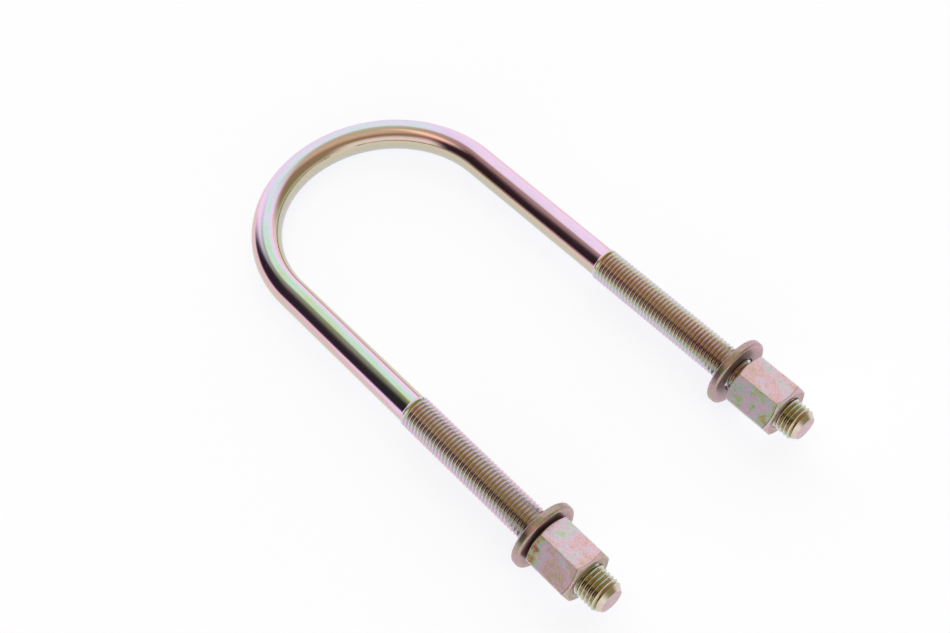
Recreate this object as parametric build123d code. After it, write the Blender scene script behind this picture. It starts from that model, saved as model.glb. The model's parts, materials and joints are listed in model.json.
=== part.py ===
from build123d import *
import math
import os

# A threaded U-bolt clamp: one bent bar with two threaded legs, and on each leg
# a thick flat washer and a high hexagon nut.  All lengths are in millimetres.
#
# Frame: the U lies flat in the XY plane.  The origin is the centre of the bend,
# which is the axis of the pipe or axle that the U-bolt clamps.  The bend is
# towards +Y, both legs run along -Y, and +Z is up.

# --- driving dimensions -------------------------------------------------------

# Metric thread, rolled on the bar, so the plain bar is at the pitch diameter.
thread_diameter = 16.0
thread_pitch = 2.0
bar_diameter = 14.7

# The U: clear width between the legs, bend centre to leg ends, thread length.
inside_width = 102.0
leg_length = 211.0
thread_length = 123.0

# The flat end of each leg, inside a 45 degree chamfer.
end_face_diameter = 11.4

# Flat washer, punched from thick plate, with rolled-over rim edges.
washer_outer_diameter = 33.0
washer_hole_diameter = 17.5
washer_thickness = 4.0
washer_rim_radius = 1.1
washer_hole_edge_radius = 0.4

# High hexagon nut, 1.5 diameters tall, chamfered at both ends.
nut_across_flats = 24.0
nut_height = 24.0
nut_chamfer_circle = 22.8
nut_chamfer_angle = 30.0
nut_countersink_diameter = 17.6
thread_running_clearance = 0.05

# Distance from the bend centre to the bend side of each washer and nut, and the
# turn of each nut's first corner from +X towards +Z.
washer_seat = {"left": 168.8, "right": 168.6}
nut_seat = {"left": 173.6, "right": 176.1}
nut_turn = {"left": 49.5, "right": 56.8}

# Length of leg, behind the washer, that is engaged by the washer and the nut.
washer_standoff = 4.0

# --- derived sizes ------------------------------------------------------------

bar_radius = bar_diameter / 2
thread_radius = thread_diameter / 2
bend_radius = (inside_width + bar_diameter) / 2
thread_start = leg_length - thread_length
engaged_start = min(washer_seat.values()) - washer_standoff
side_sign = {"left": -1, "right": 1}


def turned(points):
    """Solid of revolution about the Z axis from a closed outline of (radius, height) points."""
    outline = make_face(Plane.XZ * Polyline(*points, close=True))
    return revolve(outline, Axis.Z, clean=False)


def on_leg(shape, side, distance):
    """Place a shape made along +Z so that its +Z runs down a leg, from `distance` outwards."""
    leg_axis = Plane(
        origin=(side_sign[side] * bend_radius, -distance, 0),
        x_dir=(1, 0, 0),
        z_dir=(0, -1, 0),
    )
    return leg_axis * shape


def bend():
    """Half a turn of plain round bar about the pipe axis."""
    section = Plane.XZ * Pos(bend_radius, 0) * Circle(bar_radius)
    return revolve(section, Axis.Z, revolution_arc=180)


def leg():
    """One leg, from the bend outwards: plain bar, start of thread, thread, chamfered end.

    The thread is held at its outer diameter.  The stretch that stays free for the
    bracket and the stretch that the washer and nut cover are separate faces.
    """
    thread_step = thread_radius - bar_radius
    end_chamfer = thread_radius - end_face_diameter / 2
    return turned(
        [
            (0, 0),
            (bar_radius, 0),
            (bar_radius, thread_start),
            (thread_radius, thread_start + thread_step),
            (thread_radius, engaged_start),
            (thread_radius, leg_length - end_chamfer),
            (end_face_diameter / 2, leg_length),
            (0, leg_length),
        ]
    )


def u_rod():
    """The bent bar as one solid, closed by the faces of the bend and of both legs.

    The ends of the bend and the inner end of each leg meet inside the bar, so these
    flat faces are left out.
    """
    skin = bend().faces().filter_by(GeomType.TORUS)
    for side in side_sign:
        leg_faces = on_leg(leg(), side, 0).faces().sort_by(Axis.Y, reverse=True)
        skin += leg_faces[1:]
    return Solid(Shell(skin))


def washer():
    """A thick ring with a well rounded rim and a slightly broken hole edge."""
    hole_radius = washer_hole_diameter / 2
    ring_width = washer_outer_diameter / 2 - hole_radius
    middle = Pos(hole_radius + ring_width / 2, washer_thickness / 2)
    section = middle * Rectangle(ring_width, washer_thickness)
    section = fillet(section.vertices().group_by(Axis.X)[-1], washer_rim_radius)
    section = fillet(section.vertices().group_by(Axis.X)[0], washer_hole_edge_radius)
    return revolve(Plane.XZ * section, Axis.Z)


def nut(turn):
    """A high hexagon nut with a turned chamfer and a countersunk hole at both ends."""
    corner_radius = nut_across_flats / math.sqrt(3)
    chamfer_radius = nut_chamfer_circle / 2
    chamfer_height = (corner_radius - chamfer_radius) * math.tan(math.radians(nut_chamfer_angle))
    blank = Rot(0, 0, turn) * extrude(RegularPolygon(corner_radius, 6), nut_height)
    envelope = turned(
        [
            (0, 0),
            (chamfer_radius, 0),
            (corner_radius, chamfer_height),
            (corner_radius, nut_height - chamfer_height),
            (chamfer_radius, nut_height),
            (0, nut_height),
        ]
    )
    bore_radius = thread_radius + thread_running_clearance
    mouth_radius = nut_countersink_diameter / 2
    countersink_depth = mouth_radius - bore_radius
    bore = turned(
        [
            (0, 0),
            (mouth_radius, 0),
            (bore_radius, countersink_depth),
            (bore_radius, nut_height - countersink_depth),
            (mouth_radius, nut_height),
            (0, nut_height),
        ]
    )
    return (blank & envelope) - bore


parts = {"u_rod": u_rod()}
for side in side_sign:
    parts[f"washer_{side}"] = on_leg(washer(), side, washer_seat[side])
    parts[f"nut_{side}"] = on_leg(nut(nut_turn[side]), side, nut_seat[side])

os.makedirs("parts", exist_ok=True)
for name, shape in parts.items():
    export_step(shape, f"parts/{name}.step")
    box = shape.bounding_box()
    print(name, f"{shape.volume:.1f} mm3", box.min, box.max)

turns = (thread_length - washer_thickness) / thread_pitch
print(f"bend radius {bend_radius:.2f}, full thread {turns:.0f} turns")
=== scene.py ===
import json
import math

import bmesh
import bpy
from mathutils import Matrix, Vector


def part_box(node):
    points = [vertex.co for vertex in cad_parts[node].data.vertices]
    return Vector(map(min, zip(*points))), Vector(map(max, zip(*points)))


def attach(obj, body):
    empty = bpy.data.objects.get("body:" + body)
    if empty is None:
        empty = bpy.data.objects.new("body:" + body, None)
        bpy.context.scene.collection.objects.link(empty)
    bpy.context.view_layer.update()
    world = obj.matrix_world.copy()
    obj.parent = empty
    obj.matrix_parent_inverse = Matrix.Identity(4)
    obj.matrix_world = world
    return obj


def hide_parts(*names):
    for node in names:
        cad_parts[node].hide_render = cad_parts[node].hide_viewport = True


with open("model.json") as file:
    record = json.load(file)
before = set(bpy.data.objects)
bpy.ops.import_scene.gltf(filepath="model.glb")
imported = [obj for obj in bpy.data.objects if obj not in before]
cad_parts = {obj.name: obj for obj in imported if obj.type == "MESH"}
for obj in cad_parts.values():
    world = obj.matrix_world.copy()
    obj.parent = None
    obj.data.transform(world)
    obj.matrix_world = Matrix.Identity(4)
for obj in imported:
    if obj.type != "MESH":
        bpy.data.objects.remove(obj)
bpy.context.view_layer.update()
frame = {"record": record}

# A U-bolt with plated, rolled threads.  The U lies flat with its bend towards +Y and
# its legs along -Y; each leg carries a thick washer and a high hexagon nut.

# ---------------------------------------------------------------- sizes, in metres

MM = 0.001
TAU = 2 * math.pi

record = frame["record"]
studs = next(m for m in record["mounts"] if m["name"] == "bracket_studs")["dims"]
LEAD = record["behaviour"]["couplings"][0]["ratio"]

PITCH = LEAD * TAU
THREAD_RADIUS = studs["stud_r_mm"] * MM
BEND_RADIUS = studs["spacing_x_mm"] * MM / 2
rod_low, rod_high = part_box("u_rod")
BAR_RADIUS = rod_high.y - BEND_RADIUS
LEG_END = -rod_low.y
THREAD_LENGTH = 123 * MM
THREAD_START = LEG_END - THREAD_LENGTH
END_FACE_RADIUS = 5.7 * MM
END_EDGE = 0.12 * MM
END_FACE_WEAR = 0.8

# Thread form: (distance along the pitch from the crest, depth below the crest), as
# parts of the pitch, with the rolled crest fully rounded and the root radiused.
THREAD_FORM = (
    (-0.14, 0.169), (-0.062, 0.034), (-0.034, 0.0085), (0.0, 0.0), (0.034, 0.0085), (0.062, 0.034),
    (0.14, 0.169), (0.382, 0.5882), (0.44, 0.6075), (0.5, 0.6134), (0.56, 0.6075), (0.618, 0.5882),
)

# Along the top of each leg, the crest lies this part of a pitch beyond each whole number
# of pitches from the bend centre.
THREAD_PHASE = 0.4

# Lengths of the rise from the plain bar to the thread, and of the groove's run-in.
SHOULDER = 0.75 * MM
RUN_IN = 2.4 * MM

# The turned tip: its slope, and the depth over which it cuts the thread's form away.
TIP_SLOPE = 0.72
TIP_FADE = 0.35 * MM

# Depth below the crest, as a part of the pitch, at which the worn crest with its painted
# highlight ends and the painted shade of the root begins, and the depth over which each changes.
WEAR_AND_HIGHLIGHT_DEPTH = 0.03
WEAR_AND_HIGHLIGHT_FADE = 0.2
ROOT_SHADE_DEPTH = 0.08
ROOT_SHADE_FADE = 0.4

# The nut's thread: its gap to the leg's thread, the radius of its own crests, and the
# depth from each end over which it darkens.
NUT_THREAD_GAP = 0.1 * MM
NUT_MINOR_RADIUS = 6.93 * MM
NUT_SHADE_DEPTH = 1.5 * MM

# The nut's body: across its flats, where the chamfer starts on the end face, the mouth of
# the countersink, the worn edge between chamfer and flat, and the round of its corners.
NUT_FLATS = 24 * MM
NUT_CHAMFER_RADIUS = 11.4 * MM
NUT_CHAMFER_SLOPE = math.tan(math.radians(30))
NUT_MOUTH_RADIUS = 8.8 * MM
NUT_EDGE = 0.32 * MM
NUT_CORNER_ROUND = 0.5 * MM

# The small step down to the chamfer, and the strength of the thin dark line of painted shade at its outer
# edge.
NUT_LIP = 0.02 * MM
NUT_EDGE_SHADE_LINE = 0.9

# A ring about half way across the end face, and how far below the chamfer the last ring
# on the flats lies.
NUT_FACE_MIDDLE = 10.2 * MM
NUT_FLAT_INSET = 2.5 * MM

# Turn of each nut's first corner from +X towards +Z, in degrees.
NUT_TURN = {"left": 49.5, "right": 56.8}

WASHER_RIM_ROUND = 1.1 * MM
WASHER_HOLE_RADIUS = 8.75 * MM
WASHER_HOLE_ROUND = 0.4 * MM

SIDE_SIGN = {"left": -1, "right": 1}
BAR_COLUMNS = 56
BEND_STEPS = 96
WASHER_COLUMNS = 160
WASHER_CORNER_STEPS = 7
NUT_SIDE_STEPS = 12
NUT_CORNER_STEPS = 4


# ---------------------------------------------------------------- meshes


def leg_point(side, turn, radius, distance):
    """Point on or in a leg: turn about +Y from +Z towards +X, distance from the bend centre."""
    x = SIDE_SIGN[side] * BEND_RADIUS + radius * math.sin(turn)
    return Vector((x, -distance, radius * math.cos(turn)))


def unbent(side, turn, radius, distance):
    """The same point on the bar before it was bent: outward side, height, length."""
    outward = SIDE_SIGN[side] * radius * math.sin(turn)
    along = distance if side == "right" else -math.pi * BEND_RADIUS - distance
    return (outward, radius * math.cos(turn), along)


def thread_depth(turn, distance):
    """Depth of the thread's surface below its crest, as a part of the pitch."""
    along = (distance / PITCH - THREAD_PHASE + turn / TAU) % 1.0
    last, last_depth = THREAD_FORM[-1]
    if along > last:
        along -= 1.0
    points = ((last - 1, last_depth), *THREAD_FORM)
    for (a, depth_a), (b, depth_b) in zip(points, points[1:]):
        if along <= b:
            break
    return depth_a + (depth_b - depth_a) * (along - a) / (b - a)


def finish_mesh(name, bm, sharp_angle):
    """Turn a bmesh into a shaded object: outward normals, smooth apart from sharp edges."""
    bmesh.ops.remove_doubles(bm, verts=bm.verts, dist=2e-7)
    bmesh.ops.dissolve_degenerate(bm, dist=1e-7, edges=bm.edges)
    loose = [v for v in bm.verts if not v.link_faces]
    bmesh.ops.delete(bm, geom=loose, context="VERTS")
    bmesh.ops.recalc_face_normals(bm, faces=bm.faces)
    mesh = bpy.data.meshes.new(name)
    bm.to_mesh(mesh)
    bm.free()
    mesh.shade_smooth()
    mesh.set_sharp_from_angle(angle=math.radians(sharp_angle))
    piece = bpy.data.objects.new(name, mesh)
    bpy.context.scene.collection.objects.link(piece)
    return piece


class Skin:
    """Rings of points joined by faces.

    Each point holds its wear and highlight (1 on exposed edges: partly real wear, partly a
    painted highlight), its painted shade (1 where the colour is painted dark as shade, as in
    a thread's root) and where it was on the bar before bending.
    """

    def __init__(self):
        self.bm = bmesh.new()
        self.wear_and_highlight = self.bm.verts.layers.float.new("wear_and_highlight")
        self.painted_shade = self.bm.verts.layers.float.new("painted_shade")
        self.straight = self.bm.verts.layers.float_vector.new("straight")

    def vert(self, point, wear_and_highlight, straight, painted_shade=0.0):
        v = self.bm.verts.new(point)
        v[self.wear_and_highlight] = wear_and_highlight
        v[self.painted_shade] = painted_shade
        v[self.straight] = Vector(straight)
        return v

    def face(self, *verts):
        if len(set(verts)) > 2:
            self.bm.faces.new(verts)

    def join(self, ring_a, ring_b):
        """Close the band between two rings that have the same number of points."""
        n = len(ring_a)
        for i in range(n):
            j = (i + 1) % n
            self.face(ring_a[i], ring_a[j], ring_b[j], ring_b[i])

    def cap(self, ring, centre):
        for i in range(len(ring)):
            self.face(ring[i], ring[(i + 1) % len(ring)], centre)


def helix_rows(first, last):
    """Distances of the thread's rows at turn zero, from before `first` to after `last`."""
    start = math.floor(first / PITCH) - 1
    stop = math.ceil(last / PITCH) + 2
    return [(n + THREAD_PHASE + s) * PITCH for n in range(start, stop) for s, _ in THREAD_FORM]


def thread_band(skin, side, turns, first, last, surface):
    """A band along the right-hand helix; surface(turn, distance) gives (radius, wear and highlight, painted
    shade).
    """
    rows = helix_rows(first, last)
    per_turn = len(THREAD_FORM)
    columns = []
    for turn in turns:
        column = []
        for row in rows:
            distance = min(max(row - PITCH * turn / TAU, first), last)
            radius, wear_and_highlight, painted_shade = surface(turn, distance)
            straight = unbent(side, turn, radius, distance)
            column.append(skin.vert(leg_point(side, turn, radius, distance), wear_and_highlight, straight, painted_shade))
        columns.append(column)
    for i in range(len(columns)):
        here = columns[i]
        wraps = i == len(columns) - 1
        other = columns[0] if wraps else columns[i + 1]
        for row in range(per_turn + 1, len(rows)):
            shifted = row - per_turn if wraps else row
            skin.face(here[row - 1], other[shifted - 1], other[shifted], here[row])


def smoothstep(x):
    x = min(max(x, 0.0), 1.0)
    return x * x * (3 - 2 * x)


def leg_surface(turn, distance):
    """Radius, wear and highlight, and painted shade of a leg's thread, with its run-in and chamfered tip; the
    shade is painted in the thread's root.
    """
    cut = smoothstep((distance - THREAD_START - SHOULDER) / RUN_IN)
    depth = thread_depth(turn, distance)
    thread = THREAD_RADIUS - cut * depth * PITCH
    tip = END_FACE_RADIUS + (LEG_END - distance) * TIP_SLOPE
    formed = smoothstep((tip - thread) / TIP_FADE)
    wear_and_highlight = 1 - formed * smoothstep((depth - WEAR_AND_HIGHLIGHT_DEPTH) / WEAR_AND_HIGHLIGHT_FADE)
    painted_shade = cut * formed * smoothstep((depth - ROOT_SHADE_DEPTH) / ROOT_SHADE_FADE)
    return min(thread, tip), wear_and_highlight, painted_shade


def build_rod():
    """The bent bar with both threaded legs, as one skin."""
    skin = Skin()
    turns = [TAU * i / BAR_COLUMNS for i in range(BAR_COLUMNS)]
    shoulder_end = THREAD_START + SHOULDER
    # each step is a ring's radius, its distance from the bend centre, and its wear and highlight
    shank_steps = (
        (BAR_RADIUS, 0.0, 0.0),
        (BAR_RADIUS, THREAD_START * 0.5, 0.0),
        (BAR_RADIUS, THREAD_START - 0.3 * MM, 0.0),
        (BAR_RADIUS + 0.04 * MM, THREAD_START, 0.1),
        (THREAD_RADIUS - 0.07 * MM, shoulder_end - 0.12 * MM, 0.6),
        (THREAD_RADIUS, shoulder_end, 1.0),
    )
    face_steps = (
        (END_FACE_RADIUS + END_EDGE, LEG_END - END_EDGE, 0.4),
        (END_FACE_RADIUS - 0.02 * MM, LEG_END - END_EDGE * 0.2, END_FACE_WEAR),
        (END_FACE_RADIUS - 0.2 * MM, LEG_END, END_FACE_WEAR),
        (END_FACE_RADIUS * 0.6, LEG_END, END_FACE_WEAR),
        (END_FACE_RADIUS * 0.2, LEG_END, END_FACE_WEAR),
    )
    for side in SIDE_SIGN:
        thread_band(skin, side, turns, shoulder_end, LEG_END - END_EDGE, leg_surface)
        # the rings on the flat of the leg's end face, and its middle, carry full painted shade, darkening the
        # end face
        for steps in (shank_steps, face_steps):
            rings = [
                [
                    skin.vert(leg_point(side, t, r, d), wear_and_highlight, unbent(side, t, r, d), float(d == LEG_END))
                    for t in turns
                ]
                for r, d, wear_and_highlight in steps
            ]
            for a, b in zip(rings, rings[1:]):
                skin.join(a, b)
        middle = leg_point(side, 0, 0, LEG_END)
        skin.cap(rings[-1], skin.vert(middle, END_FACE_WEAR, unbent(side, 0, 0, LEG_END), 1.0))
    arcs = []
    for step in range(BEND_STEPS + 1):
        angle = math.pi * step / BEND_STEPS
        outward = Vector((math.cos(angle), math.sin(angle), 0))
        ring = []
        for t in turns:
            across = BAR_RADIUS * math.sin(t)
            height = BAR_RADIUS * math.cos(t)
            point = outward * (BEND_RADIUS + across) + Vector((0, 0, height))
            ring.append(skin.vert(point, 0.0, (across, height, -BEND_RADIUS * angle)))
        arcs.append(ring)
    for a, b in zip(arcs, arcs[1:]):
        skin.join(a, b)
    return finish_mesh("threaded_bar", skin.bm, 48)


def hexagon_outline(turn_degrees):
    """(turn, radius, wear and highlight) round the nut, from corner to corner, with rounded corners."""
    apothem = NUT_FLATS / 2
    corner_span = NUT_CORNER_ROUND * math.tan(math.radians(30))
    half_side = apothem * math.tan(math.radians(30))
    flat = []
    straight_half = half_side - corner_span
    for i in range(NUT_SIDE_STEPS + 1):
        part = -1 + 2 * i / NUT_SIDE_STEPS
        # closer together near the corners, so that shading stays flat in the middle
        s = straight_half * math.copysign(abs(part) ** 0.75, part)
        wear_and_highlight = smoothstep((abs(s) - straight_half + 0.5 * MM) / (0.5 * MM))
        flat.append((math.atan2(s, apothem), math.hypot(s, apothem), wear_and_highlight))
    arc = []
    centre = (apothem - NUT_CORNER_ROUND) / math.cos(math.radians(30))
    for i in range(1, NUT_CORNER_STEPS):
        angle = math.radians(-30 + 60 * i / NUT_CORNER_STEPS)
        x = centre + NUT_CORNER_ROUND * math.cos(angle)
        y = NUT_CORNER_ROUND * math.sin(angle)
        arc.append((math.radians(30) + math.atan2(y, x), math.hypot(x, y), 1.0))
    outline = []
    for side in range(6):
        # the frame's turn runs from +Z towards +X, the corner angle from +X towards +Z
        middle = math.radians(90 - turn_degrees + 30 + 60 * side)
        outline += [((middle + a) % TAU, r, w) for a, r, w in flat + arc]
    return sorted(outline)


def build_nut(side):
    """A high hexagon nut: rounded edges, turned chamfers, countersunk threaded bore."""
    low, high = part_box(f"nut_{side}")
    near, far = -high.y, -low.y
    skin = Skin()
    outline = hexagon_outline(NUT_TURN[side])

    def chamfer_depth(radius):
        return max(radius - NUT_CHAMFER_RADIUS, 0.0) * NUT_CHAMFER_SLOPE

    def ring(end, points):
        """One ring, from each point's turn, radius, depth below the end, wear and highlight, and painted
        shade.
        """
        inward = 1 if end == near else -1
        made = []
        for turn, radius, depth, wear_and_highlight, painted_shade in points:
            distance = end + inward * depth
            straight = unbent(side, turn, radius, distance)
            made.append(skin.vert(leg_point(side, turn, radius, distance), wear_and_highlight, straight, painted_shade))
        return made

    # radius, depth, wear and highlight, and painted shade of the round rings on an end face; most of the end
    # face is painted darker, as shade
    face_steps = (
        (NUT_MOUTH_RADIUS, 0.0, 0.3, 0.7),
        (NUT_MOUTH_RADIUS + 0.15 * MM, 0.0, 0.0, 0.7),
        (NUT_FACE_MIDDLE, 0.0, 0.0, 0.95),
        (NUT_CHAMFER_RADIUS - 0.25 * MM, 0.0, 0.0, 0.95),
        (NUT_CHAMFER_RADIUS, NUT_LIP, 0.6, 0.5),
    )
    rings = []
    for end in (near, far):
        part = [
            ring(end, [(t, radius, depth, wear_and_highlight, painted_shade) for t, _, _ in outline])
            for radius, depth, wear_and_highlight, painted_shade in face_steps
        ]
        part.append(ring(end, [
            (t, r - NUT_EDGE, chamfer_depth(r - NUT_EDGE) + NUT_LIP, 0.1, 0.5) for t, r, _ in outline
        ]))
        part.append(ring(end, [
            (t, r - NUT_EDGE * 0.1, chamfer_depth(r) + NUT_LIP, 1.0, 0.0) for t, r, _ in outline
        ]))
        # below the chamfer, the flats start with a thin dark line of painted shade at the outer end
        edge_shade = NUT_EDGE_SHADE_LINE if end == far else 0.0
        part.append(ring(end, [
            (t, r, chamfer_depth(r) + NUT_EDGE * 0.9, 0.9 * (1 - edge_shade), edge_shade) for t, r, _ in outline
        ]))
        for below, line_shade in ((NUT_EDGE * 1.5, edge_shade), (NUT_EDGE * 2.4, 0.0), (NUT_FLAT_INSET, 0.0)):
            part.append(ring(end, [
                (t, r, chamfer_depth(r) + below, wear_and_highlight * (1 - line_shade), line_shade) for t, r, wear_and_highlight in outline
            ]))
        for a, b in zip(part, part[1:]):
            skin.join(a, b)
        rings.append(part)
    skin.join(rings[0][-1], rings[1][-1])

    def bore_surface(turn, distance):
        thread = THREAD_RADIUS - thread_depth(turn, distance) * PITCH + NUT_THREAD_GAP
        countersink = NUT_MOUTH_RADIUS - min(distance - near, far - distance)
        # painted shade: the bore's colour darkens inwards from each end
        painted_shade = smoothstep(min(distance - near, far - distance) / NUT_SHADE_DEPTH)
        return max(thread, NUT_MINOR_RADIUS, countersink), 0.0, painted_shade

    thread_band(skin, side, [t for t, _, _ in outline], near, far, bore_surface)
    return finish_mesh(f"high_nut_{side}", skin.bm, 40)


def build_washer(side):
    """A thick punched washer with rolled-over rim edges."""
    low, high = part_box(f"washer_{side}")
    near, far = -high.y, -low.y
    rim = (high.x - low.x) / 2
    middle = (near + far) / 2
    half = (far - near) / 2
    # radius, offset from the washer's middle, wear and highlight, and painted shade of each ring; the faces
    # are painted darker towards the hole, as shade
    profile = []

    def corner(centre_radius, centre_offset, rounding, first, last, wear_and_highlight, painted_shade):
        for i in range(WASHER_CORNER_STEPS + 1):
            a = math.radians(first + (last - first) * i / WASHER_CORNER_STEPS)
            profile.append((
                centre_radius + rounding * math.cos(a),
                centre_offset + rounding * math.sin(a),
                wear_and_highlight * math.sin(math.pi * i / WASHER_CORNER_STEPS),
                painted_shade,
            ))

    inner = WASHER_HOLE_RADIUS + WASHER_HOLE_ROUND
    outer = rim - WASHER_RIM_ROUND
    corner(inner, -half + WASHER_HOLE_ROUND, WASHER_HOLE_ROUND, 180, 270, 0.8, 0.9)
    profile.append((inner + 1.2 * MM, -half, 0.0, 0.8))
    profile.append((outer - 2.0 * MM, -half, 0.0, 0.5))
    profile.append((outer - 0.4 * MM, -half, 0.0, 0.1))
    corner(outer, -half + WASHER_RIM_ROUND, WASHER_RIM_ROUND, 270, 360, 0.7, 0.0)
    profile.append((rim, 0.0, 0.0, 0.0))
    corner(outer, half - WASHER_RIM_ROUND, WASHER_RIM_ROUND, 0, 90, 0.7, 0.0)
    profile.append((outer - 0.4 * MM, half, 0.0, 0.1))
    profile.append((outer - 2.0 * MM, half, 0.0, 0.5))
    profile.append((inner + 1.2 * MM, half, 0.0, 0.8))
    corner(inner, half - WASHER_HOLE_ROUND, WASHER_HOLE_ROUND, 90, 180, 0.8, 0.9)
    profile.append((WASHER_HOLE_RADIUS, 0.0, 0.0, 0.9))
    skin = Skin()
    rings = []
    for radius, offset, wear_and_highlight, painted_shade in profile:
        ring = []
        for i in range(WASHER_COLUMNS):
            where = (side, TAU * i / WASHER_COLUMNS, radius, middle + offset)
            ring.append(skin.vert(leg_point(*where), wear_and_highlight, unbent(*where), painted_shade))
        rings.append(ring)
    for a, b in zip(rings, rings[1:] + rings[:1]):
        skin.join(a, b)
    return finish_mesh(f"thick_washer_{side}", skin.bm, 60)


# ---------------------------------------------------------------- materials


def srgb(red, green, blue):
    """A colour given in display values, from 11 to 255, as linear light."""
    linear = [((c / 255 + 0.055) / 1.055) ** 2.4 for c in (red, green, blue)]
    return (*linear, 1.0)


# Interference colours of the passivated film, from very thin to thick.
FILM_COLOURS = (
    (0.00, srgb(198, 194, 187)),
    (0.13, srgb(202, 196, 172)),
    (0.22, srgb(216, 193, 178)),
    (0.32, srgb(232, 183, 198)),
    (0.43, srgb(238, 205, 230)),
    (0.52, srgb(222, 201, 233)),
    (0.60, srgb(212, 216, 230)),
    (0.68, srgb(190, 220, 202)),
    (0.77, srgb(196, 207, 158)),
    (0.85, srgb(214, 190, 120)),
    (0.93, srgb(206, 140, 128)),
    (1.00, srgb(168, 104, 136)),
)

# The film looks thickest on the upper side, which faces this way: a painted sheen, as the
# film's colour follows how far the surface faces this fixed axis, in place of the colour
# that shifts with the angle of view.
SHEEN_AXIS = Vector((-0.22, -0.26, 0.82)).normalized()

# The film along the bar, from the left shank (0) round the bend to the right one (1),
# held as red, green and blue: its thickness, its growth towards the outer side of the U
# plus one half, and the share of it that is left on the inner side.
BAR_FILM = (
    (0.00, (0.77, 0.33, 0.40, 1.0)),
    (0.24, (0.76, 0.00, 0.32, 1.0)),
    (0.37, (0.67, 0.00, 0.15, 1.0)),
    (0.50, (0.67, 0.94, 0.63, 1.0)),
    (0.65, (0.68, 0.95, 0.75, 1.0)),
    (0.76, (0.50, 0.94, 1.00, 1.0)),
    (0.88, (0.53, 0.80, 1.00, 1.0)),
    (1.00, (0.52, 0.70, 1.00, 1.0)),
)

# The film on the thread of the left and right leg and at their tips, as a part that
# looks even all round and a part that changes with the way the surface faces, and the
# share of both that is left on the crest.
THREAD_FILM = ((0.30, 0.51), (0.46, 0.46))
THREAD_CREST = (0.42, 0.36)
TIP_FILM = (0.72, 0.12)
TIP_CREST = 0.22

# The film that looks even is made so down to this facing.
THREAD_LEAST_FACING = 0.1
WASHER_LEAST_FACING = 0.25

# Between these distances from the leg's end, the thread's film gives way to the tip's.
TIP_LENGTH = (16 * MM, 12 * MM)

# Painted shade: hollows and end faces are painted darker, with a little more film, and less so on the right
# leg's thread.
PAINTED_SHADE_TINT = (0.56, 0.52, 0.46, 1.0)
PAINTED_SHADE_FILM = 0.07
RIGHT_PAINTED_SHADE = 0.65

# The film on the nuts: on the left one it grows from the nut's end to its washer. The upper
# and lower flats, and the two nuts, get different film partly as painted light, for how
# differently they catch the light.
LEFT_TOP_FILM = (0.48, 0.60)
LEFT_LOWER_FILM = (0.37, 1.10)
RIGHT_TOP_FILM = 0.44
RIGHT_LOWER_FILM = 0.84

# The lower flats' blotches, and their share on the left nut; and how far a flat has to
# face upwards to count as partly, and as wholly, an upper one.
NUT_BLOTCHES = 0.28
LEFT_BLOTCH_SHARE = 0.8
UPPER_FLAT = (0.72, 0.88)

WASHER_FILM = 0.28

# Noise scales, per metre.
SPECK_SCALE = 3200.0
GRAIN_SCALE = 2600.0
DULL_SCALE = 1500.0
STREAK_SCALE = 900.0
WEAR_SCALE = 700.0
SCRATCH_SCALE = 620.0
ROUGH_SCALE = 260.0
BLOTCH_SCALE = 210.0

# Patterns drawn out along the bar: their scale across it twice, and along it.
MOTTLE_STRETCH = (1.0, 1.0, 0.4)
SCRATCH_STRETCH = (1.0, 1.0, 0.22)
STREAK_STRETCH = (1.0, 1.0, 0.05)

# The values of the noise between which the metal turns worn and takes its painted highlight,
# scratched, and from dull to bright.
WEAR_AND_HIGHLIGHT_RANGE = (0.25, 0.65)
SCRATCH_RANGE = (0.70, 0.78)
DULL_RANGE = (0.3, 0.62)

# Lighter colour of worn edges and crests: partly real wear, partly a painted highlight.
WORN_AND_HIGHLIGHT_COLOUR = srgb(226, 216, 214)
SCRATCH_COLOUR = srgb(214, 206, 200)


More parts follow.
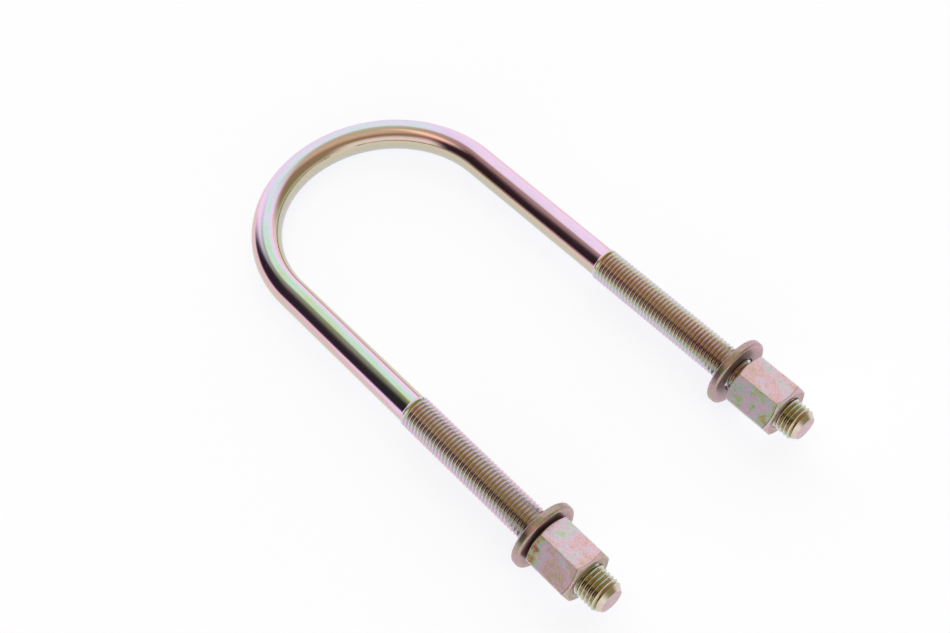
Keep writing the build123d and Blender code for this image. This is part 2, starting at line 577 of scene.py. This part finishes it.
class Graph:
    """Short ways to add nodes to a material or world."""

    def __init__(self, tree):
        self.tree = tree
        tree.nodes.clear()

    def add(self, kind, **settings):
        node = self.tree.nodes.new(kind)
        for key, value in settings.items():
            setattr(node, key, value)
        return node

    def put(self, socket, value):
        if isinstance(value, bpy.types.NodeSocket):
            self.tree.links.new(value, socket)
        else:
            socket.default_value = value

    def math(self, operation, *values, clamp=False):
        node = self.add("ShaderNodeMath", operation=operation, use_clamp=clamp)
        for socket, value in zip(node.inputs, values):
            self.put(socket, value)
        return node.outputs[0]

    def vector(self, operation, *values):
        node = self.add("ShaderNodeVectorMath", operation=operation)
        for socket, value in zip(node.inputs, values):
            self.put(socket, value)
        return node.outputs["Value"] if operation == "DOT_PRODUCT" else node.outputs["Vector"]

    def blend(self, share, first, second):
        """The first value where share is 0, the second where it is 1."""
        return self.math("MULTIPLY_ADD", share, self.math("SUBTRACT", second, first), first)

    def smooth(self, value, low, high, to_low=0.0, to_high=1.0):
        node = self.add("ShaderNodeMapRange", interpolation_type="SMOOTHSTEP")
        names = ("Value", "From Min", "From Max", "To Min", "To Max")
        for name, v in zip(names, (value, low, high, to_low, to_high)):
            self.put(node.inputs[name], v)
        return node.outputs["Result"]

    def mix(self, factor, a, b, blend="MIX"):
        node = self.add("ShaderNodeMix", data_type="RGBA", blend_type=blend)
        self.put(node.inputs[0], factor)
        self.put(node.inputs[6], a)
        self.put(node.inputs[7], b)
        return node.outputs[2]

    def noise(self, vector, scale, detail=2.0, roughness=0.5):
        node = self.add("ShaderNodeTexNoise")
        self.put(node.inputs["Vector"], vector)
        node.inputs["Scale"].default_value = scale
        node.inputs["Detail"].default_value = detail
        node.inputs["Roughness"].default_value = roughness
        return node.outputs["Fac"]

    def centred(self, noise):
        """The noise with its contrast raised, from -0.5 to 0.5."""
        return self.smooth(noise, 0.33, 0.67, -0.5, 0.5)

    def split(self, vector):
        node = self.add("ShaderNodeSeparateXYZ")
        self.put(node.inputs[0], vector)
        return node.outputs

    def ramp(self, factor, stops):
        node = self.add("ShaderNodeValToRGB")
        elements = node.color_ramp.elements
        while len(elements) < len(stops):
            elements.new(0.5)
        for element, (position, colour) in zip(elements, stops):
            element.position = position
            element.color = colour
        self.put(node.inputs[0], factor)
        return node.outputs[0]


def on_right(g, place):
    """0 on the left leg and 1 on the right one."""
    return g.smooth(g.split(place)["X"], -10 * MM, 10 * MM)


def bar_film(g, place, straight, wear_and_highlight, sheen_facing):
    """Film on the bar, and the share of the painted shade's tint that it shows.

    On the plain bar the film is thick on the left leg and thinner on the right one.
    """
    section = g.split(straight)
    shank_length = math.pi * BEND_RADIUS + 2 * THREAD_START
    from_left = g.math("ADD", section["Z"], shank_length - THREAD_START)
    channels = g.add("ShaderNodeSeparateColor")
    g.put(channels.inputs[0], g.ramp(g.math("DIVIDE", from_left, shank_length), BAR_FILM))
    thickness, growth, share = channels.outputs
    outward = g.math("DIVIDE", section["X"], BAR_RADIUS)
    lean = g.math("MULTIPLY_ADD", g.math("SUBTRACT", growth, 0.5), outward, 1.0)
    inside = g.smooth(outward, -0.15, -0.8)
    kept = g.blend(inside, 1.0, share)
    film = g.math("MULTIPLY", g.math("MULTIPLY", thickness, lean), kept)
    distance = g.math("MULTIPLY", g.split(place)["Y"], -1.0)
    on_thread = g.smooth(distance, THREAD_START, THREAD_START + SHOULDER)
    at_tip = g.smooth(distance, LEG_END - TIP_LENGTH[0], LEG_END - TIP_LENGTH[1])
    right = on_right(g, place)
    (left_even, left_turning), (right_even, right_turning) = THREAD_FILM
    even = g.blend(at_tip, g.blend(right, left_even, right_even), TIP_FILM[0])
    turning = g.blend(at_tip, g.blend(right, left_turning, right_turning), TIP_FILM[1])
    least = g.math("MAXIMUM", sheen_facing, THREAD_LEAST_FACING)
    thread = g.math("ADD", g.math("DIVIDE", even, least), turning)
    crest = g.blend(at_tip, g.blend(right, *THREAD_CREST), TIP_CREST)
    thread = g.math("MULTIPLY", thread, g.blend(wear_and_highlight, 1.0, crest))
    # the right leg's thread shows less of the painted shade
    painted_shade_share = g.blend(at_tip, g.blend(right, 1.0, RIGHT_PAINTED_SHADE), 1.0)
    return g.blend(on_thread, film, thread), painted_shade_share


def nut_film_and_painted_light(g, place, normal):
    """Film on the nuts: nearly even on the upper flats, blotchy on the lower ones."""
    upper = g.smooth(g.split(normal)["Z"], *UPPER_FLAT)
    right = on_right(g, place)
    y = g.split(place)["Y"]
    nut_low, nut_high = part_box("nut_left")
    left_top = g.smooth(y, nut_low.y, nut_high.y, *LEFT_TOP_FILM)
    left_lower = g.smooth(y, (nut_low.y + nut_high.y) / 2, nut_high.y, *LEFT_LOWER_FILM)
    noise = g.noise(place, BLOTCH_SCALE, 5.0, 0.65)
    blotches = g.smooth(noise, 0.34, 0.66, -NUT_BLOTCHES, NUT_BLOTCHES)
    blotch_share = g.blend(right, LEFT_BLOTCH_SHARE, 1.0)
    lower = g.math("MULTIPLY_ADD", blotches, blotch_share, g.blend(right, left_lower, RIGHT_LOWER_FILM))
    return g.blend(upper, lower, g.blend(right, left_top, RIGHT_TOP_FILM))


def washer_film(g, sheen_facing):
    """Film on the washers, which looks the same on the rim and on the faces."""
    return g.math("DIVIDE", WASHER_FILM, g.math("MAXIMUM", sheen_facing, WASHER_LEAST_FACING))


def plating(
    name, film, patch, patch_scale, mottle, mottle_scale, speck,
    tone, dullness, scratched, metal, rough, rough_spread, grain, wear_and_highlight_gain,
):
    """Yellow-passivated zinc: a metal whose tint is the interference colour of its film.

    patch, mottle and speck say how much the film's thickness varies, from large to tiny;
    tone and dullness how light the metal is and how much darker its dull places are;
    grain is the strength of the bump, and the last argument that of the worn edges'
    lighter colour, partly real wear and partly a painted highlight on edges and crests.
    """
    material = bpy.data.materials.new(name)
    material.use_nodes = True
    g = Graph(material.node_tree)
    coordinates = g.add("ShaderNodeTexCoord")
    place = coordinates.outputs["Object"]
    normal = coordinates.outputs["Normal"]
    straight = g.add("ShaderNodeAttribute", attribute_name="straight").outputs["Vector"]
    wear_and_highlight = g.add("ShaderNodeAttribute", attribute_name="wear_and_highlight").outputs["Fac"]
    painted_shade = g.add("ShaderNodeAttribute", attribute_name="painted_shade").outputs["Fac"]

    # painted sheen: how far the surface faces the fixed sheen axis sets the film's colour
    sheen_facing = g.vector("DOT_PRODUCT", normal, SHEEN_AXIS)
    drawn = g.vector("MULTIPLY", straight, MOTTLE_STRETCH)
    large = g.centred(g.noise(place, patch_scale, 2.0))
    small = g.centred(g.noise(drawn, mottle_scale, 5.0, 0.6))
    tiny = g.centred(g.noise(place, SPECK_SCALE, 3.0, 0.6))
    if film == "bar":
        base, painted_shade_share = bar_film(g, place, straight, wear_and_highlight, sheen_facing)
        painted_shade = g.math("MULTIPLY", painted_shade, painted_shade_share)
    elif film == "nut":
        base = nut_film_and_painted_light(g, place, normal)
    elif film == "washer":
        base = washer_film(g, sheen_facing)
    thickness = g.math("MULTIPLY_ADD", large, patch, base)
    thickness = g.math("MULTIPLY_ADD", small, mottle, thickness)
    thickness = g.math("MULTIPLY_ADD", tiny, speck, thickness)
    order = g.math("MULTIPLY", thickness, sheen_facing, clamp=True)
    # painted shade: where the mesh marks it, the film is a little thicker and the colour darker
    order = g.math("MULTIPLY_ADD", painted_shade, PAINTED_SHADE_FILM, order, clamp=True)
    colour = g.ramp(order, FILM_COLOURS)
    colour = g.mix(painted_shade, colour, PAINTED_SHADE_TINT, "MULTIPLY")

    # worn edges and crests are lightened: partly real wear, partly a painted highlight
    worn_and_highlit = g.smooth(g.math("MULTIPLY", wear_and_highlight, g.noise(place, WEAR_SCALE, 3.0)), *WEAR_AND_HIGHLIGHT_RANGE)
    colour = g.mix(g.math("MULTIPLY", worn_and_highlit, wear_and_highlight_gain), colour, WORN_AND_HIGHLIGHT_COLOUR)
    scratches = g.noise(g.vector("MULTIPLY", straight, SCRATCH_STRETCH), SCRATCH_SCALE, 1.0)
    scratches = g.smooth(scratches, *SCRATCH_RANGE, 0.0, scratched)
    colour = g.mix(scratches, colour, SCRATCH_COLOUR)
    dulled = g.noise(place, DULL_SCALE, 4.0, 0.6)
    dulled = g.smooth(dulled, *DULL_RANGE, tone * (1 - dullness), tone)
    shade = g.add("ShaderNodeCombineColor")
    for channel in shade.inputs:
        g.put(channel, dulled)
    colour = g.mix(1.0, colour, shade.outputs[0], "MULTIPLY")

    streaks = g.noise(g.vector("MULTIPLY", straight, STREAK_STRETCH), STREAK_SCALE, 3.0)
    uneven = g.math("SUBTRACT", g.noise(place, ROUGH_SCALE, 4.0), 0.5)
    roughness = g.math("MULTIPLY_ADD", uneven, rough_spread, rough)
    drawn_out = g.math("SUBTRACT", streaks, 0.5)
    roughness = g.math("MULTIPLY_ADD", drawn_out, rough_spread * 0.5, roughness, clamp=True)

    height = g.math("MULTIPLY_ADD", streaks, 0.5, g.noise(place, GRAIN_SCALE, 3.0))
    bump = g.add("ShaderNodeBump")
    bump.inputs["Strength"].default_value = grain
    bump.inputs["Distance"].default_value = 0.05 * MM
    g.put(bump.inputs["Height"], height)

    shader = g.add("ShaderNodeBsdfPrincipled")
    g.put(shader.inputs["Base Color"], colour)
    shader.inputs["Metallic"].default_value = metal
    g.put(shader.inputs["Roughness"], roughness)
    g.put(shader.inputs["Normal"], bump.outputs[0])
    output = g.add("ShaderNodeOutputMaterial")
    g.put(output.inputs["Surface"], shader.outputs[0])
    return material


# The floor's two nearly equal colours, and the light it gives off itself to look white.
FLOOR_COLOURS = (srgb(160, 161, 163), srgb(166, 166, 168))
FLOOR_GLOW = (0.93, 0.94, 1.0, 1.0)
FLOOR_GLOW_STRENGTH = 0.82
FLOOR_NOISE_SCALE = 3.0


def floor_material():
    """A plain pale studio floor, faintly uneven, with light of its own."""
    material = bpy.data.materials.new("studio_floor")
    material.use_nodes = True
    g = Graph(material.node_tree)
    place = g.add("ShaderNodeTexCoord").outputs["Object"]
    colour = g.mix(g.noise(place, FLOOR_NOISE_SCALE, 2.0), *FLOOR_COLOURS)
    shader = g.add("ShaderNodeBsdfPrincipled")
    g.put(shader.inputs["Base Color"], colour)
    shader.inputs["Roughness"].default_value = 0.9
    shader.inputs["Specular IOR Level"].default_value = 0.1
    shader.inputs["Emission Color"].default_value = FLOOR_GLOW
    shader.inputs["Emission Strength"].default_value = FLOOR_GLOW_STRENGTH
    output = g.add("ShaderNodeOutputMaterial")
    g.put(output.inputs["Surface"], shader.outputs[0])
    return material


# ---------------------------------------------------------------- light and camera

# Cards of the light tent: middle azimuth, from +Y towards +X, and half its width; lower
# and upper elevation; half width of the soft edge; all in degrees; then the light it gives.
TENT_WALL = (1.08, 1.08, 1.06)
TENT_BACK_CARDS = (
    (-140, 60, 31, 200, 13, (0.29, 0.31, 0.16)),
    (137, 42, 6, 72, 16, (0.34, 0.32, 0.18)),
)

# The tan top is a round card, about an axis given by its azimuth and elevation.
TENT_TOP = (0.66, 0.61, 0.31)
TENT_TOP_AXIS = (-140.0, 86.7)
TENT_TOP_ANGLE = 31.6
TENT_TOP_SOFT = 9.0

# These cards hang in front of the top.
TENT_FRONT_CARDS = (
    (-19, 31, 43, 70, 10, (0.44, 0.33, 0.25)),
    (-51, 38, 1, 53.7, 9, (0.030, 0.021, 0.024)),
    (-72, 17, 51, 85.5, 14, (1.32, 1.04, 0.57)),
)
BACKDROP = (0.98, 0.98, 0.98, 1.0)


def build_world():
    """A procedural light tent: pale walls, a tan top and a dark card to the left.

    Where the view looks past the floor, it shows a plain pale backdrop.
    """
    world = bpy.data.worlds.new("light_tent")
    bpy.context.scene.world = world
    world.use_nodes = True
    g = Graph(world.node_tree)
    direction = g.add("ShaderNodeTexCoord").outputs["Generated"]
    parts = g.split(direction)
    azimuth = g.math("DEGREES", g.math("ARCTAN2", parts["X"], parts["Y"]))
    elevation = g.math("DEGREES", g.math("ARCSINE", parts["Z"]))

    def hang(cards, colour):
        for middle, half, low, high, soft, light in cards:
            off_middle = g.math("PINGPONG", g.math("SUBTRACT", azimuth, middle), 180.0)
            across = g.smooth(off_middle, half - soft, half + soft, 1.0, 0.0)
            above = g.smooth(elevation, low - soft, low + soft)
            below = g.smooth(elevation, high - soft, high + soft, 1.0, 0.0)
            cover = g.math("MULTIPLY", across, g.math("MULTIPLY", above, below))
            colour = g.mix(cover, colour, (*light, 1.0))
        return colour

    top_az, top_el = (math.radians(v) for v in TENT_TOP_AXIS)
    top_axis = (math.sin(top_az) * math.cos(top_el), math.cos(top_az) * math.cos(top_el), math.sin(top_el))
    away = g.math("DEGREES", g.math("ARCCOSINE", g.vector("DOT_PRODUCT", direction, top_axis)))
    top = g.smooth(away, TENT_TOP_ANGLE - TENT_TOP_SOFT, TENT_TOP_ANGLE + TENT_TOP_SOFT, 1.0, 0.0)
    colour = hang(TENT_BACK_CARDS, (*TENT_WALL, 1.0))
    colour = g.mix(top, colour, (*TENT_TOP, 1.0))
    colour = hang(TENT_FRONT_CARDS, colour)
    seen = g.add("ShaderNodeLightPath").outputs["Is Camera Ray"]
    colour = g.mix(seen, colour, BACKDROP)
    background = g.add("ShaderNodeBackground")
    g.put(background.inputs["Color"], colour)
    background.inputs["Strength"].default_value = 1.0
    output = g.add("ShaderNodeOutputWorld")
    g.put(output.inputs["Surface"], background.outputs[0])


def build_floor(material):
    """A pale floor, sloping so that the object rests on its washers' rims and its bend."""
    washer_low, washer_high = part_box("washer_left")
    washer_middle = (washer_low.y + washer_high.y) / 2
    slope = (-BAR_RADIUS - washer_low.z) / (BEND_RADIUS - washer_middle)
    clearance = 0.05 * MM
    half = 6.0
    bm = bmesh.new()
    steps = 24
    grid = []
    for i in range(steps + 1):
        row = []
        for j in range(steps + 1):
            x = half * (2 * i / steps - 1)
            y = half * (2 * j / steps - 1)
            z = -BAR_RADIUS - clearance + slope * (y - BEND_RADIUS)
            row.append(bm.verts.new((x, y, z)))
        grid.append(row)
    for i in range(steps):
        for j in range(steps):
            bm.faces.new((grid[i][j], grid[i + 1][j], grid[i + 1][j + 1], grid[i][j + 1]))
    mesh = bpy.data.meshes.new("floor")
    bm.to_mesh(mesh)
    bm.free()
    floor = bpy.data.objects.new("floor", mesh)
    mesh.materials.append(material)
    bpy.context.scene.collection.objects.link(floor)


def build_camera():
    """A camera above and to the left of the leg ends, slightly rolled."""
    location = Vector((-0.2392, -0.3703, 0.5432))
    azimuth = math.radians(-37.83)
    elevation = math.radians(54.93)
    roll = math.radians(-4.72)
    back = Vector((
        math.sin(azimuth) * math.cos(elevation),
        -math.cos(azimuth) * math.cos(elevation),
        math.sin(elevation),
    ))
    level = Vector((0, 0, 1)).cross(back).normalized()
    upright = back.cross(level)
    right = level * math.cos(roll) + upright * math.sin(roll)
    up = back.cross(right)
    camera_data = bpy.data.cameras.new("photo_view")
    camera_data.lens = 54.93
    camera_data.sensor_width = 36.0
    camera_data.clip_start = 0.01
    camera_data.clip_end = 50.0
    camera = bpy.data.objects.new("photo_view", camera_data)
    turn = Matrix((right, up, back)).transposed().to_4x4()
    camera.matrix_world = Matrix.Translation(location) @ turn
    bpy.context.scene.collection.objects.link(camera)
    bpy.context.scene.camera = camera


# ---------------------------------------------------------------- assembly

rod_plating = plating(
    "rod_plating", film="bar", patch=0.07, patch_scale=35.0, mottle=0.05, mottle_scale=260.0, speck=0.04,
    tone=1.0, dullness=0.05, scratched=0.35, metal=1.0, rough=0.12, rough_spread=0.08, grain=0.12,
    wear_and_highlight_gain=0.4,
)
washer_plating = plating(
    "washer_plating", film="washer", patch=0.22, patch_scale=90.0, mottle=0.26, mottle_scale=420.0, speck=0.2,
    tone=0.75, dullness=0.34, scratched=0.2, metal=0.92, rough=0.32, rough_spread=0.25, grain=0.8,
    wear_and_highlight_gain=0.2,
)
# The nuts' edges are lightened strongly: partly real wear, partly a painted highlight along their edges and
# chamfers.
nut_plating = plating(
    "nut_plating", film="nut", patch=0.24, patch_scale=150.0, mottle=0.26, mottle_scale=560.0, speck=0.28,
    tone=1.16, dullness=0.2, scratched=0.0, metal=0.5, rough=0.36, rough_spread=0.2, grain=0.6,
    wear_and_highlight_gain=0.9,
)

bar = build_rod()
bar.data.materials.append(rod_plating)
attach(bar, "rod")
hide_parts("u_rod")

for side_name in SIDE_SIGN:
    washer = build_washer(side_name)
    washer.data.materials.append(washer_plating)
    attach(washer, f"washer_{side_name}")
    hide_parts(f"washer_{side_name}")
    nut = build_nut(side_name)
    nut.data.materials.append(nut_plating)
    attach(nut, f"nut_{side_name}")
    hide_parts(f"nut_{side_name}")

build_floor(floor_material())
build_world()
build_camera()

scene = bpy.context.scene
scene.view_settings.view_transform = "Standard"
scene.view_settings.look = "None"
